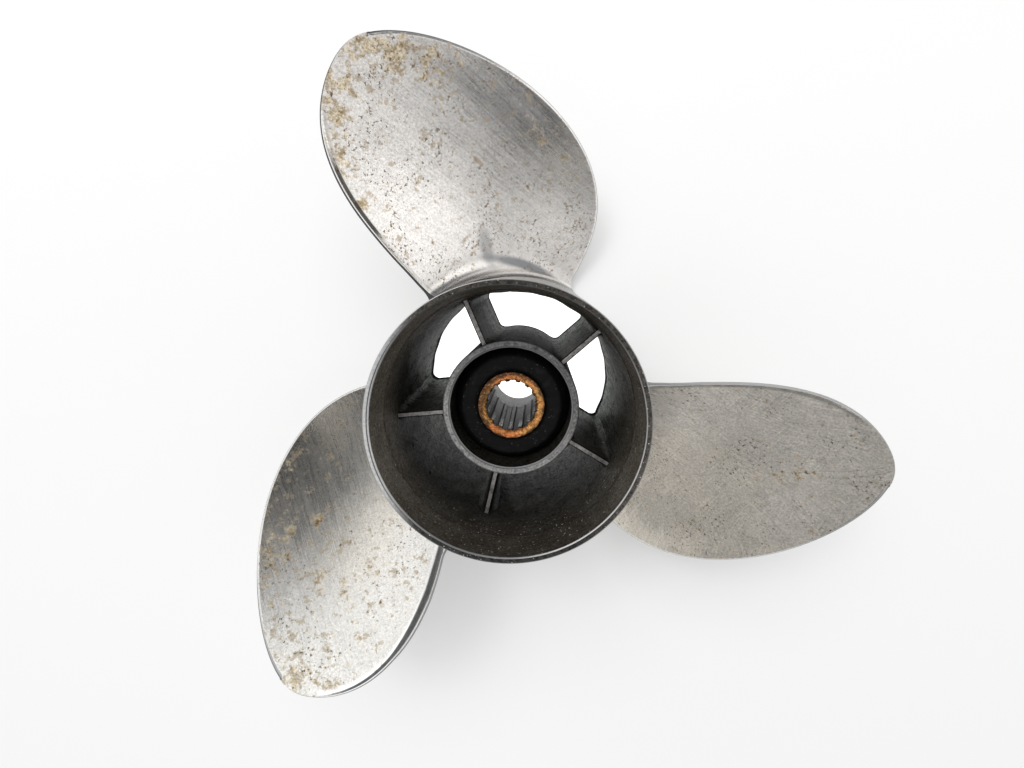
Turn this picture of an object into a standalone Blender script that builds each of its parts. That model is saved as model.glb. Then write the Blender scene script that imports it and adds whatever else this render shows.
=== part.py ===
"""Three-bladed outboard propeller with through-hub exhaust, standing on its front end.

Metres, +Z up and aft along the shaft. The origin is on the shaft axis at the centre of mass.
Heights in the constants are measured up from the front face, which the propeller stands on.
"""
import math

import bmesh
import bpy
import numpy as np
from mathutils import Matrix, Vector

COLLECTION = "outboard_propeller"
CUTTERS = "cutters"

# Seam left between neighbouring solids.
SEAM = 0.0003

# Height of the centre of mass above the front face.
ORIGIN_HEIGHT = 0.0673

# Outer barrel: a tube that flares at its aft end, where the exhaust leaves.
BARREL_LENGTH = 0.151
BARREL_RADIUS = 0.0603
RIM_INNER_RADIUS = 0.0577
FLARE_RADIUS = 0.0556
FLARE_HEIGHT = 0.132
THROAT_RADIUS = 0.0536
THROAT_HEIGHT = 0.104
FRONT_INNER_RADIUS = 0.0533
RIM_CHAMFER = 0.0004
FRONT_CHAMFER = 0.0010
BARREL_STEPS = 72

# Inner hub: the tube that holds the rubber bushing.
HUB_AFT_HEIGHT = 0.1137
HUB_FRONT_HEIGHT = 0.005
HUB_AFT_RADIUS = 0.0319
HUB_FRONT_RADIUS = 0.0305
HUB_BORE_AFT_RADIUS = 0.0284
HUB_BORE_FRONT_RADIUS = 0.0268
HUB_CHAMFER = 0.0005
HUB_STEPS = 60

# Five ribs join the inner hub to the barrel and part the exhaust passages.
RIB_COUNT = 5
RIB_FIRST_DEG = 48.1
RIB_THICKNESS = 0.0026
RIB_FILLET = 0.0042
RIB_AFT_FILLET = 0.0014
RIB_AFT_HEIGHT = 0.1090
RIB_FRONT_HEIGHT = 0.003
RIB_EDGE_ROUND = 0.0012

# Rubber bushing pressed into the inner hub.
RUBBER_EDGE_HEIGHT = 0.0950
RUBBER_CROWN_HEIGHT = 0.1052
RUBBER_CROWN_RADIUS = 0.0236
RUBBER_LIP_RADIUS = 0.0178
RUBBER_LIP_DROP = 0.0012
RUBBER_FRONT_HEIGHT = 0.013
RUBBER_FRONT_ROUND = 0.002

# Splined sleeve bonded into the rubber.
SLEEVE_RADIUS = 0.0158
SLEEVE_AFT_HEIGHT = 0.1068
SLEEVE_FRONT_HEIGHT = 0.010
SLEEVE_CHAMFER = 0.0005
SPLINE_COUNT = 15
SPLINE_ROOT_RADIUS = 0.0125
SPLINE_TIP_RADIUS = 0.0112
SPLINE_GROOVE_WIDTH = 0.0028
SPLINE_FIRST_DEG = -9.9
SPLINE_END_HEIGHT = 0.048
COUNTERBORE_RADIUS = 0.0134
SLEEVE_EXIT_RADIUS = 0.0139
SLEEVE_STEPS = 60

# Blades: a raked helical pressure face that looks aft, between two edges given in degrees.
# The edges are stated at seven stations from root to tip, and angles run clockwise from +Y.
BLADE_COUNT = 3
TIP_RADIUS = 0.170
PITCH = 0.476
ROOT_HEIGHT = 0.0425
RAKE = 0.61
RAKE_RELIEF = 0.006
EDGE_STATIONS = (0.0, 0.2, 0.4, 0.6, 0.8, 0.9, 1.0)
TRAILING_EDGE_DEG = (-38.0, -38.8, -36.1, -31.1, -25.7, -23.3, -20.6)
LEADING_EDGE_DEG = (28.2, 25.6, 14.3, -0.4, -12.4, -16.9, -20.6)
ROOT_THICKNESS = 0.0088
TIP_THICKNESS = 0.0030
EDGE_THICKNESS = 0.0016
ROOT_FILLET = 0.009
EDGE_FILLET = 0.0035
CUP_DEPTH = 0.0024
CUP_WIDTH = 0.011
FILLET_STATIONS = 5
SPAN_STATIONS = 15
LAST_STATION = 0.97
CHORD_POINTS = 13
EDGE_POINTS = 3
ROOT_PATCH_COLUMNS = 5


def lift(height):
    """Height above the front face as a world Z."""
    return height - ORIGIN_HEIGHT


def clear_scene():
    for thing in list(bpy.data.objects):
        bpy.data.objects.remove(thing, do_unlink=True)


def make_collection(name):
    group = bpy.data.collections.new(name)
    bpy.context.scene.collection.children.link(group)
    return group


def make_material(name, colour, roughness, metallic):
    material = bpy.data.materials.new(name)
    material.use_nodes = True
    shader = material.node_tree.nodes["Principled BSDF"]
    shader.inputs["Base Color"].default_value = (*colour, 1.0)
    shader.inputs["Roughness"].default_value = roughness
    shader.inputs["Metallic"].default_value = metallic
    return material


def steel(name, shade, roughness=0.35):
    return make_material(name, (shade, shade * 0.97, shade * 0.93), roughness, 1.0)


def add_object(name, mesh, group, material):
    thing = bpy.data.objects.new(name, mesh)
    group.objects.link(thing)
    if material:
        mesh.materials.append(material)
    return thing


def finish_mesh(bm, name, smooth_angle=35.0):
    bmesh.ops.recalc_face_normals(bm, faces=bm.faces)
    mesh = bpy.data.meshes.new(name)
    bm.to_mesh(mesh)
    bm.free()
    mesh.shade_smooth()
    mesh.set_sharp_from_angle(angle=math.radians(smooth_angle))
    return mesh


def turned(name, profile, steps, group, material):
    """Turn a closed (radius, height) profile about the shaft axis."""
    bm = bmesh.new()
    corners = [bm.verts.new((radius, 0.0, lift(height))) for radius, height in profile]
    for first, second in zip(corners, corners[1:] + corners[:1]):
        bm.edges.new((first, second))
    mesh = bpy.data.meshes.new(name)
    bm.to_mesh(mesh)
    bm.free()
    thing = add_object(name, mesh, group, material)
    screw = thing.modifiers.new("turn", "SCREW")
    screw.axis = "Z"
    screw.angle = 2 * math.pi
    screw.steps = steps
    screw.render_steps = steps
    screw.use_merge_vertices = True
    screw.merge_threshold = 0.00005
    screw.use_smooth_shade = True
    return thing


def barrel_inner_radius(height):
    """Radius of the barrel's inner wall, in straight tapers between four heights."""
    heights = (0.0, THROAT_HEIGHT, FLARE_HEIGHT, BARREL_LENGTH)
    radii = (FRONT_INNER_RADIUS, THROAT_RADIUS, FLARE_RADIUS, RIM_INNER_RADIUS)
    return float(np.interp(height, heights, radii))


def hub_outer_radius(height):
    return float(np.interp(height, (HUB_FRONT_HEIGHT, HUB_AFT_HEIGHT), (HUB_FRONT_RADIUS, HUB_AFT_RADIUS)))


def hub_bore_radius(height):
    ends = (HUB_FRONT_HEIGHT, HUB_AFT_HEIGHT)
    return float(np.interp(height, ends, (HUB_BORE_FRONT_RADIUS, HUB_BORE_AFT_RADIUS)))


def outer_barrel(group):
    top = BARREL_LENGTH
    profile = [
        (BARREL_RADIUS - RIM_CHAMFER, top),
        (BARREL_RADIUS, top - RIM_CHAMFER),
        (BARREL_RADIUS, FRONT_CHAMFER),
        (BARREL_RADIUS - FRONT_CHAMFER, 0.0),
        (FRONT_INNER_RADIUS + FRONT_CHAMFER, 0.0),
        (FRONT_INNER_RADIUS, FRONT_CHAMFER),
        (THROAT_RADIUS, THROAT_HEIGHT),
        (FLARE_RADIUS, FLARE_HEIGHT),
        (RIM_INNER_RADIUS, top - RIM_CHAMFER),
        (RIM_INNER_RADIUS + RIM_CHAMFER, top),
    ]
    turned("outer_barrel", profile, BARREL_STEPS, group, steel("barrel_steel", 0.30, 0.45))


def inner_hub(group):
    top, low = HUB_AFT_HEIGHT, HUB_FRONT_HEIGHT
    profile = [
        (HUB_AFT_RADIUS - HUB_CHAMFER, top),
        (HUB_AFT_RADIUS, top - HUB_CHAMFER),
        (HUB_FRONT_RADIUS, low + HUB_CHAMFER),
        (HUB_FRONT_RADIUS - HUB_CHAMFER, low),
        (HUB_BORE_FRONT_RADIUS + HUB_CHAMFER, low),
        (HUB_BORE_FRONT_RADIUS, low + HUB_CHAMFER),
        (HUB_BORE_AFT_RADIUS, top - HUB_CHAMFER),
        (HUB_BORE_AFT_RADIUS + HUB_CHAMFER, top),
    ]
    turned("inner_hub", profile, HUB_STEPS, group, steel("hub_steel", 0.28, 0.5))


def rubber_bushing(group):
    edge, low = RUBBER_EDGE_HEIGHT, RUBBER_FRONT_HEIGHT
    inside = SLEEVE_RADIUS + SEAM
    profile = [
        (RUBBER_CROWN_RADIUS, RUBBER_CROWN_HEIGHT),
        (hub_bore_radius(edge) - SEAM, edge),
        (hub_bore_radius(low) - SEAM, low + RUBBER_FRONT_ROUND),
        (hub_bore_radius(low) - SEAM - RUBBER_FRONT_ROUND, low),
        (inside, low),
        (inside, RUBBER_CROWN_HEIGHT - RUBBER_LIP_DROP),
        (RUBBER_LIP_RADIUS, RUBBER_CROWN_HEIGHT),
    ]
    material = make_material("bushing_rubber", (0.012, 0.012, 0.013), 0.75, 0.0)
    turned("rubber_bushing", profile, HUB_STEPS, group, material)


def spline_cutter(group):
    """Fifteen bars round the bore, each as wide as one groove between two teeth."""
    bm = bmesh.new()
    low, high = SPLINE_END_HEIGHT, SLEEVE_AFT_HEIGHT + 0.005
    start = SPLINE_TIP_RADIUS - 0.002
    reach = SPLINE_ROOT_RADIUS - start
    size = Matrix.Diagonal((SPLINE_GROOVE_WIDTH, reach, high - low, 1.0))
    place = Matrix.Translation((0.0, start + reach / 2, lift((low + high) / 2)))
    for index in range(SPLINE_COUNT):
        clockwise = SPLINE_FIRST_DEG + 360.0 / SPLINE_COUNT * (index + 0.5)
        turn = Matrix.Rotation(math.radians(-clockwise), 4, "Z")
        bmesh.ops.create_cube(bm, size=1.0, matrix=turn @ place @ size)
    cutter = add_object("spline_cutter", finish_mesh(bm, "spline_cutter"), group, None)
    cutter.hide_render = True
    cutter.display_type = "WIRE"
    return cutter


def splined_sleeve(group, cutters):
    top, low = SLEEVE_AFT_HEIGHT, SLEEVE_FRONT_HEIGHT
    profile = [
        (SLEEVE_RADIUS - SLEEVE_CHAMFER, top),
        (SLEEVE_RADIUS, top - SLEEVE_CHAMFER),
        (SLEEVE_RADIUS, low + SLEEVE_CHAMFER),
        (SLEEVE_RADIUS - SLEEVE_CHAMFER, low),
        (SLEEVE_EXIT_RADIUS, low),
        (COUNTERBORE_RADIUS, SPLINE_END_HEIGHT - 0.001),
        (SPLINE_TIP_RADIUS, SPLINE_END_HEIGHT + 0.001),
        (SPLINE_TIP_RADIUS, top - SLEEVE_CHAMFER),
        (SPLINE_TIP_RADIUS + SLEEVE_CHAMFER, top),
    ]
    material = make_material("sleeve_steel", (0.42, 0.18, 0.06), 0.8, 0.4)
    sleeve = turned("splined_sleeve", profile, SLEEVE_STEPS, group, material)
    cut = sleeve.modifiers.new("splines", "BOOLEAN")
    cut.operation = "DIFFERENCE"
    cut.object = spline_cutter(cutters)


def rib_outline(height, half, flare):
    """Plan of one rib along +Y: arcs on the hub and the barrel wall, joined by flared sides."""
    inner = hub_outer_radius(height) + SEAM
    outer = barrel_inner_radius(height) - SEAM
    side = [(half + flare, inner)]
    side += [(half + flare * 0.3, inner + flare * 0.3), (half, inner + flare)]
    side += [(half, outer - flare), (half + flare * 0.3, outer - flare * 0.3), (half + flare, outer)]
    right = [(x, math.sqrt(y * y - x * x) if y in (inner, outer) else y) for x, y in side]
    left = [(-x, y) for x, y in reversed(right)]
    return right + [(0.0, outer)] + left + [(0.0, inner)]


def rib_mesh():
    """Loft of the rib's plan from its front end to its rounded aft edge, where the fillets die out."""
    half, small = RIB_THICKNESS / 2, RIB_AFT_FILLET
    levels = [(RIB_FRONT_HEIGHT, half, RIB_FILLET), (THROAT_HEIGHT - RIB_FILLET, half, RIB_FILLET)]
    levels += [(RIB_AFT_HEIGHT - RIB_EDGE_ROUND, half, small)]
    levels += [(RIB_AFT_HEIGHT - RIB_EDGE_ROUND * 0.3, half * 0.75, small)]
    levels += [(RIB_AFT_HEIGHT, half * 0.35, small)]
    bm = bmesh.new()
    rings = []
    for height, width, flare in levels:
        outline = rib_outline(height, width, flare)
        rings.append([bm.verts.new((x, y, lift(height))) for x, y in outline])
    bridge(bm, rings)
    bm.faces.new(rings[0])
    bm.faces.new(rings[-1])
    return finish_mesh(bm, "rib")


def bridge(bm, rings):
    """Join each closed ring of vertices to the next with quads."""
    for low, high in zip(rings, rings[1:]):
        count = len(low)
        for index in range(count):
            following = (index + 1) % count
            bm.faces.new((low[index], low[following], high[following], high[index]))


def ribs(group):
    for index in range(RIB_COUNT):
        name = f"rib_{index + 1}"
        rib = add_object(name, rib_mesh(), group, steel(f"{name}_steel", 0.26, 0.5))
        rib.rotation_euler.z = -math.radians(RIB_FIRST_DEG + 360.0 / RIB_COUNT * index)


def edge_angles(station):
    """Trailing and leading edge angles, on smooth curves through the stated stations."""
    order = len(EDGE_STATIONS) - 1
    curves = (np.polyfit(EDGE_STATIONS, edge, order) for edge in (TRAILING_EDGE_DEG, LEADING_EDGE_DEG))
    return [math.radians(np.polyval(curve, station)) for curve in curves]


def blade_stations():
    """Radii from root to tip: close together over the root fillet, then bunched at the tip."""
    span = TIP_RADIUS - BARREL_RADIUS
    first = [ROOT_FILLET * (1 - math.cos(t)) for t in np.linspace(0.0, math.pi / 2, FILLET_STATIONS)]
    start = 1 - math.sqrt(1 - ROOT_FILLET / span)
    rest = [span * (1 - (1 - s) ** 2) for s in np.linspace(start, LAST_STATION, SPAN_STATIONS)[1:]]
    return [BARREL_RADIUS + SEAM + first[0]] + [BARREL_RADIUS + rise for rise in first[1:] + rest]


def fillet_at(radius, size):
    """Quarter-round flare: the full size at the barrel and nothing one size above it."""
    rise = radius - BARREL_RADIUS
    if rise >= size:
        return 0.0
    return size - math.sqrt(size * size - (size - rise) ** 2)


def section_points(radius):
    """One blade section, unrolled: pairs of distance round the barrel and height.

    Points run along the pressure face from trailing to leading edge, round that edge, back
    along the suction face, and round the trailing edge. They sit on the cylinder of this radius.
    """
    share = (radius - BARREL_RADIUS) / (TIP_RADIUS - BARREL_RADIUS)
    trailing, leading = edge_angles(1 - math.sqrt(max(0.0, 1 - share)))
    slope = math.atan(PITCH / (2 * math.pi * radius))
    chord = radius * (leading - trailing) / math.cos(slope)
    middle = radius * (leading + trailing) / 2
    raked = ROOT_HEIGHT + RAKE * (radius - BARREL_RADIUS) - RAKE_RELIEF * share ** 2
    thickest = min(ROOT_THICKNESS + (TIP_THICKNESS - ROOT_THICKNESS) * share ** 0.7, chord / 3)
    flare = fillet_at(radius, ROOT_FILLET)
    reach = EDGE_THICKNESS / 2 + fillet_at(radius, EDGE_FILLET)

    def place(along, off):
        around = middle + along * math.cos(slope) + off * math.sin(slope)
        height = raked - math.tan(slope) * middle - along * math.sin(slope) + off * math.cos(slope)
        return around, height

    def faces_at(along):
        share_along = along / chord + 0.5
        body = EDGE_THICKNESS + (thickest - EDGE_THICKNESS) * math.sin(math.pi * share_along) ** 0.8
        near_edge = max(0.0, 1 - (along + chord / 2) / CUP_WIDTH)
        cup = CUP_DEPTH * near_edge ** 2 * min(1.0, share * 5) * (1 - share ** 4)
        return cup + flare, cup - body - flare

    turns = [math.pi * t for t in np.linspace(0.0, 1.0, CHORD_POINTS)]
    stops = [-math.cos(turn) * (chord / 2 - EDGE_THICKNESS / 2) for turn in turns]
    pressure = [place(along, faces_at(along)[0]) for along in stops]
    suction = [place(along, faces_at(along)[1]) for along in reversed(stops)]
    ends = []
    for stop, way in ((stops[-1], 1), (stops[0], -1)):
        above, below = faces_at(stop)
        centre, half = (above + below) / 2, (above - below) / 2
        bends = [math.pi * t for t in np.linspace(0.0, 1.0, EDGE_POINTS + 2)[1:-1]]
        ends.append([place(stop + way * reach * math.sin(b), centre + way * half * math.cos(b)) for b in bends])
    return pressure, ends[0], suction, ends[1]


def wrap(radius, point):
    """Wrap an unrolled point onto the cylinder, clockwise from +Y."""
    around, height = point
    angle = around / radius
    return Vector((radius * math.sin(angle), radius * math.cos(angle), lift(height)))


def root_patch(bm, radius, ring, pressure, suction):
    """Close the root with a patch that follows the barrel, a seam's width off it."""
    columns = [ring[:len(pressure)]]
    back = suction[::-1]
    start = len(pressure) + EDGE_POINTS
    far = ring[start:start + len(suction)][::-1]
    for step in range(1, ROOT_PATCH_COLUMNS):
        share = step / ROOT_PATCH_COLUMNS
        mixed = [(a[0] + (b[0] - a[0]) * share, a[1] + (b[1] - a[1]) * share) for a, b in zip(pressure, back)]
        columns.append([bm.verts.new(wrap(radius, point)) for point in mixed])
    columns.append(far)
    for near, next_one in zip(columns, columns[1:]):
        for index in range(len(near) - 1):
            bm.faces.new((near[index], near[index + 1], next_one[index + 1], next_one[index]))
    trailing_end = [column[0] for column in columns] + ring[start + len(suction):]
    leading_end = [column[-1] for column in columns[::-1]] + ring[len(pressure):start]
    bm.faces.new(trailing_end)
    bm.faces.new(leading_end)


def blade_mesh():
    """Loft of the sections from the root, a seam's width off the barrel, to the tip."""
    bm = bmesh.new()
    rings = []
    radii = blade_stations()
    for radius in radii:
        outline = [point for run in section_points(radius) for point in run]
        rings.append([bm.verts.new(wrap(radius, point)) for point in outline])
    bridge(bm, rings)
    pressure, _, suction, _ = section_points(radii[0])
    root_patch(bm, radii[0], rings[0], pressure, suction)
    bm.faces.new(rings[-1])
    return finish_mesh(bm, "blade", 50.0)


def blades(group):
    for index in range(BLADE_COUNT):
        name = f"blade_{index + 1}"
        blade = add_object(name, blade_mesh(), group, steel(f"{name}_steel", 0.55, 0.3))
        blade.rotation_euler.z = -2 * math.pi / BLADE_COUNT * index


def build():
    clear_scene()
    group = make_collection(COLLECTION)
    cutters = make_collection(CUTTERS)
    outer_barrel(group)
    inner_hub(group)
    ribs(group)
    rubber_bushing(group)
    splined_sleeve(group, cutters)
    blades(group)


build()
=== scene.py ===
import math
from types import SimpleNamespace

import bmesh
import bpy
import numpy as np
from mathutils import Matrix, Vector


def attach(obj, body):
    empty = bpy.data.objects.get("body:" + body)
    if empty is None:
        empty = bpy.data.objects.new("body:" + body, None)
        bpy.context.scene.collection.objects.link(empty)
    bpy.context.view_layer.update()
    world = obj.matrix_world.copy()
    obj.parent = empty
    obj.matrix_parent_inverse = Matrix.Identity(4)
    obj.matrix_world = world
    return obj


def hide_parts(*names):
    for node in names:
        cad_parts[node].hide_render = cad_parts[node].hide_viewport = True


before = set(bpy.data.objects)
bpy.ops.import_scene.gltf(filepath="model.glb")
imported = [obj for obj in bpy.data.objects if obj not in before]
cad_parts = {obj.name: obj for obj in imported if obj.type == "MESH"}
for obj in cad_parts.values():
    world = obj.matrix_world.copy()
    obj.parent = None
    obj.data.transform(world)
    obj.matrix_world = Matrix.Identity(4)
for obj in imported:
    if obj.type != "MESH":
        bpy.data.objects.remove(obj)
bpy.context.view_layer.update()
originHeight = 0.0673      # height of the origin above the floor, metres
floorHeight = -originHeight
weldDistance = 0.000002    # points nearer to each other than this become one, metres


# mesh helpers

def gridFaces(rows, columns, closeRows, closeColumns):
    # quads between neighbouring grid points, wrapped round where a direction is closed
    lastRow = rows if closeRows else rows - 1
    lastColumn = columns if closeColumns else columns - 1
    row, column = np.meshgrid(np.arange(lastRow), np.arange(lastColumn), indexing="ij")
    nextRow, nextColumn = (row + 1) % rows, (column + 1) % columns
    corners = [row * columns + column, row * columns + nextColumn,
               nextRow * columns + nextColumn, nextRow * columns + column]
    return np.stack(corners, axis=-1).reshape(-1, 4)


def gridMesh(name, points, closeRows=False, closeColumns=True, maps=None):
    # points is rows x columns x 3, maps are UV layers by name; doubled points are merged, faces turned out
    rows, columns = points.shape[:2]
    mesh = bpy.data.meshes.new(name)
    faces = gridFaces(rows, columns, closeRows, closeColumns)
    mesh.from_pydata(points.reshape(-1, 3).tolist(), [], faces.tolist())
    corner = np.zeros(len(mesh.loops), dtype=np.int32)
    mesh.loops.foreach_get("vertex_index", corner)
    for layerName, values in (maps or {}).items():
        layer = mesh.uv_layers.new(name=layerName)
        layer.data.foreach_set("uv", values.reshape(-1, 2)[corner].ravel())
    bm = bmesh.new()
    bm.from_mesh(mesh)
    bmesh.ops.remove_doubles(bm, verts=bm.verts, dist=weldDistance)
    bmesh.ops.recalc_face_normals(bm, faces=bm.faces)
    bm.to_mesh(mesh)
    bm.free()
    mesh.shade_smooth()
    return mesh


def smoothStep(value, low, high):
    # 0 below low, 1 above high, and 3t^2 - 2t^3 in between
    share = np.clip((value - low) / (high - low), 0.0, 1.0)
    return share * share * (3.0 - 2.0 * share)


def ripple(x, y, waves, seed):
    # sum of sines, each in a direction and with a start of its own: a smooth uneven surface about zero
    total = np.zeros(np.broadcast(x, y).shape)
    phases = np.random.default_rng(seed).uniform(0.0, 2.0 * np.pi, (len(waves), 2))
    for (length, gain), (turn, shift) in zip(waves, phases):
        total = total + gain * np.sin(2 * np.pi / length * (x * np.cos(turn) + y * np.sin(turn)) + shift)
    return total


def addPiece(name, mesh, material, slotName, *nodes):
    # puts a finished mesh in the scene in place of the named nodes; its points are already where they belong
    piece = bpy.data.objects.new(name, mesh)
    bpy.context.scene.collection.objects.link(piece)
    mesh.materials.append(material)
    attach(piece, "root")
    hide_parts(*nodes)


def filletProfile(corners, steps=5):
    # (radius, height, rounding) corners of a profile, each one replaced by the arc
    # (1 - t)^2 start + 2 t (1 - t) corner + t^2 end, whose ends lie one rounding away from it
    corners = [np.array(corner, dtype=float) for corner in corners]
    points = []
    for before, corner, after in zip(corners[-1:] + corners[:-1], corners, corners[1:] + corners[:1]):
        place, rounding = corner[:2], corner[2]
        if rounding == 0.0:
            points.append(place)
            continue
        toBefore, toAfter = before[:2] - place, after[:2] - place
        start = place + toBefore / np.linalg.norm(toBefore) * rounding
        end = place + toAfter / np.linalg.norm(toAfter) * rounding
        for t in np.linspace(0.0, 1.0, steps):
            points.append((1 - t) ** 2 * start + 2 * t * (1 - t) * place + t * t * end)
    return np.array(points)


def splitLong(profile, longest):
    # extra points on the long straight runs of a closed profile
    out = []
    for first, second in zip(profile, np.roll(profile, -1, axis=0)):
        pieces = max(1, int(np.ceil(np.linalg.norm(second - first) / longest)))
        out += [first + (second - first) * k / pieces for k in range(pieces)]
    return np.array(out)


def turned(profile, steps):
    # profile (radius, height) carried round the shaft: radius, angle and height, a row for each of its points
    angle = np.linspace(0.0, 2 * np.pi, steps, endpoint=False)[None, :]
    radius = profile[:, 0:1] + 0.0 * angle
    height = profile[:, 1:2] - originHeight + 0.0 * angle
    return radius, angle + 0.0 * radius, height


def roundPoints(radius, angle, height):
    # x = radius times sin of the angle, y = radius times its cos, z = height
    return np.stack([radius * np.sin(angle), radius * np.cos(angle), height], axis=-1)


# shader helpers

class Wire:
    # an output socket that takes part in sums; every operator adds one Math node
    def __init__(self, finish, socket):
        self.finish, self.socket = finish, socket

    def join(self, operation, first, second, clamp=False):
        made = self.finish.node("ShaderNodeMath", {"operation": operation, "use_clamp": clamp},
                                {0: first, 1: second})
        return Wire(self.finish, made.outputs[0])

    def __add__(self, other):
        return self.join("ADD", self, other)

    def __radd__(self, other):
        return self.join("ADD", other, self)

    def __sub__(self, other):
        return self.join("SUBTRACT", self, other)

    def __rsub__(self, other):
        return self.join("SUBTRACT", other, self)

    def __mul__(self, other):
        return self.join("MULTIPLY", self, other)

    def __rmul__(self, other):
        return self.join("MULTIPLY", other, self)

    def __truediv__(self, other):
        return self.join("DIVIDE", self, other)

    def most(self, other):
        return self.join("MAXIMUM", self, other)

    def clamped(self):
        return self.join("ADD", self, 0.0, clamp=True)


class Finish:
    # one node tree, with short ways to add what the materials here use
    def __init__(self, tree):
        self.tree = tree
        tree.nodes.clear()

    def node(self, kind, settings=None, sockets=None):
        made = self.tree.nodes.new(kind)
        for key, value in (settings or {}).items():
            setattr(made, key, value)
        for key, value in (sockets or {}).items():
            self.plug(made.inputs[key], value)
        return made

    def plug(self, socket, value):
        if isinstance(value, Wire):
            self.tree.links.new(value.socket, socket)
        else:
            socket.default_value = value

    def wire(self, made, output):
        return Wire(self, made.outputs[output])

    def place(self):
        return self.wire(self.node("ShaderNodeTexCoord"), "Object")

    def uv(self, layer):
        return self.wire(self.node("ShaderNodeUVMap", {"uv_map": layer}), "UV")

    def mapped(self, vector, turn=(0, 0, 0), scale=(1, 1, 1), shift=(0, 0, 0)):
        # scaled, then turned, then shifted
        made = self.node("ShaderNodeMapping", {"vector_type": "POINT"},
                         {"Vector": vector, "Rotation": turn, "Scale": scale, "Location": shift})
        return self.wire(made, "Vector")

    def moved(self, vector, x, y):
        # shifted, so that two patterns of the same place don't repeat each other
        return self.mapped(vector, shift=(x, y, 0.0))

    def noise(self, vector, scale, detail=3.0, rough=0.5, twist=0.0):
        # cloudy pattern between 0 and 1, mostly near 0.5, that changes about scale times a metre
        made = self.node("ShaderNodeTexNoise", None, {"Vector": vector, "Scale": scale, "Detail": detail,
                                                      "Roughness": rough, "Distortion": twist})
        return self.wire(made, "Fac")

    def uneven(self, vector, scale, detail, rough=0.5):
        # the same pattern about zero
        return self.noise(vector, scale, detail, rough) - 0.5

    def step(self, value, low, high, first=0.0, last=1.0):
        # first up to low, last from high on, and an S curve in between; low may be the larger of the two
        made = self.node("ShaderNodeMapRange", {"interpolation_type": "SMOOTHSTEP", "clamp": True},
                         {"Value": value, "From Min": low, "From Max": high, "To Min": first, "To Max": last})
        return self.wire(made, "Result")

    def below(self, value, top, deep, shallow):
        # 0 further than deep below top, 1 nearer to it than shallow
        return self.step(value, top - deep, top - shallow)

    def mix(self, share, first, second, blend="MIX"):
        # first where share is 0, second (or the two blended) where it is 1
        made = self.node("ShaderNodeMix", {"data_type": "RGBA", "blend_type": blend, "clamp_factor": True},
                         {0: share, 6: first, 7: second})
        return Wire(self, made.outputs[2])

    def shaded(self, colour, factor):
        # colour times factor, which is a number, a wire or another colour
        return self.mix(1.0, colour, grey(factor) if isinstance(factor, float) else factor, "MULTIPLY")

    def parts(self, vector):
        made = self.node("ShaderNodeSeparateXYZ", None, {0: vector})
        return [Wire(self, made.outputs[k]) for k in range(3)]

    def triple(self, x, y, z):
        return self.wire(self.node("ShaderNodeCombineXYZ", None, {0: x, 1: y, 2: z}), 0)

    def dot(self, vector, direction):
        # cosine of the angle between two directions of length 1
        made = self.node("ShaderNodeVectorMath", {"operation": "DOT_PRODUCT"}, {0: vector, 1: direction})
        return self.wire(made, "Value")

    def reach(self, vector):
        # distance from the shaft: square root of x^2 + y^2
        level = self.mapped(vector, scale=(1.0, 1.0, 0.0))
        return self.wire(self.node("ShaderNodeVectorMath", {"operation": "LENGTH"}, {0: level}), "Value")

    def far(self, vector, point):
        # distance from a point
        made = self.node("ShaderNodeVectorMath", {"operation": "DISTANCE"}, {0: vector, 1: point})
        return self.wire(made, "Value")

    def bump(self, height, strength, distance):
        sockets = {"Height": height, "Strength": strength, "Distance": distance}
        made = self.node("ShaderNodeBump", None, sockets)
        return self.wire(made, "Normal")

    def surface(self, **sockets):
        # Base_Color stands for the socket "Base Color", and so on
        shader = self.node("ShaderNodeBsdfPrincipled", None,
                           {key.replace("_", " "): value for key, value in sockets.items()})
        self.node("ShaderNodeOutputMaterial", None, {"Surface": self.wire(shader, "BSDF")})


def newFinish(name):
    # an empty material, and the Finish that fills it
    material = bpy.data.materials.new(name)
    material.use_nodes = True
    return material, Finish(material.node_tree)


def grey(shade, warm=0.0):
    # one shade in all three channels; warm adds that share of it to red and takes it from blue
    return (shade * (1 + warm), shade, shade * (1 - warm), 1.0)


# camera

cameraSettings = {
    "lens": 24.66, "sensor": 36.0, "clip": (0.01, 20.0),
    "tilt": (9.240, -2.404, -1.186),         # degrees about x, y, z that turn the part to the lens
    "offset": (-0.002332, -0.017337, -0.289904),         # the aft rim's centre as the lens sees it, metres
    "rimHeight": 0.0837,
}


def addCamera(settings):
    # The lens sees a point p, counted from the rim's centre, at T p + offset, where T is the three turns.
    # So it stands at the rim's centre minus T's inverse times the offset.
    data = bpy.data.cameras.new("viewCamera")
    data.lens, data.sensor_width = settings["lens"], settings["sensor"]
    data.clip_start, data.clip_end = settings["clip"]
    camera = bpy.data.objects.new("viewCamera", data)
    bpy.context.scene.collection.objects.link(camera)
    x, y, z = (math.radians(angle) for angle in settings["tilt"])
    turn = Matrix.Rotation(z, 3, "Z") @ Matrix.Rotation(y, 3, "Y") @ Matrix.Rotation(x, 3, "X")
    back = turn.transposed()
    spot = -(back @ Vector(settings["offset"])) + Vector((0, 0, settings["rimHeight"]))
    camera.matrix_world = Matrix.Translation(spot) @ back.to_4x4()
    bpy.context.scene.camera = camera


addCamera(cameraSettings)
print("camera set")


# studio

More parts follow.
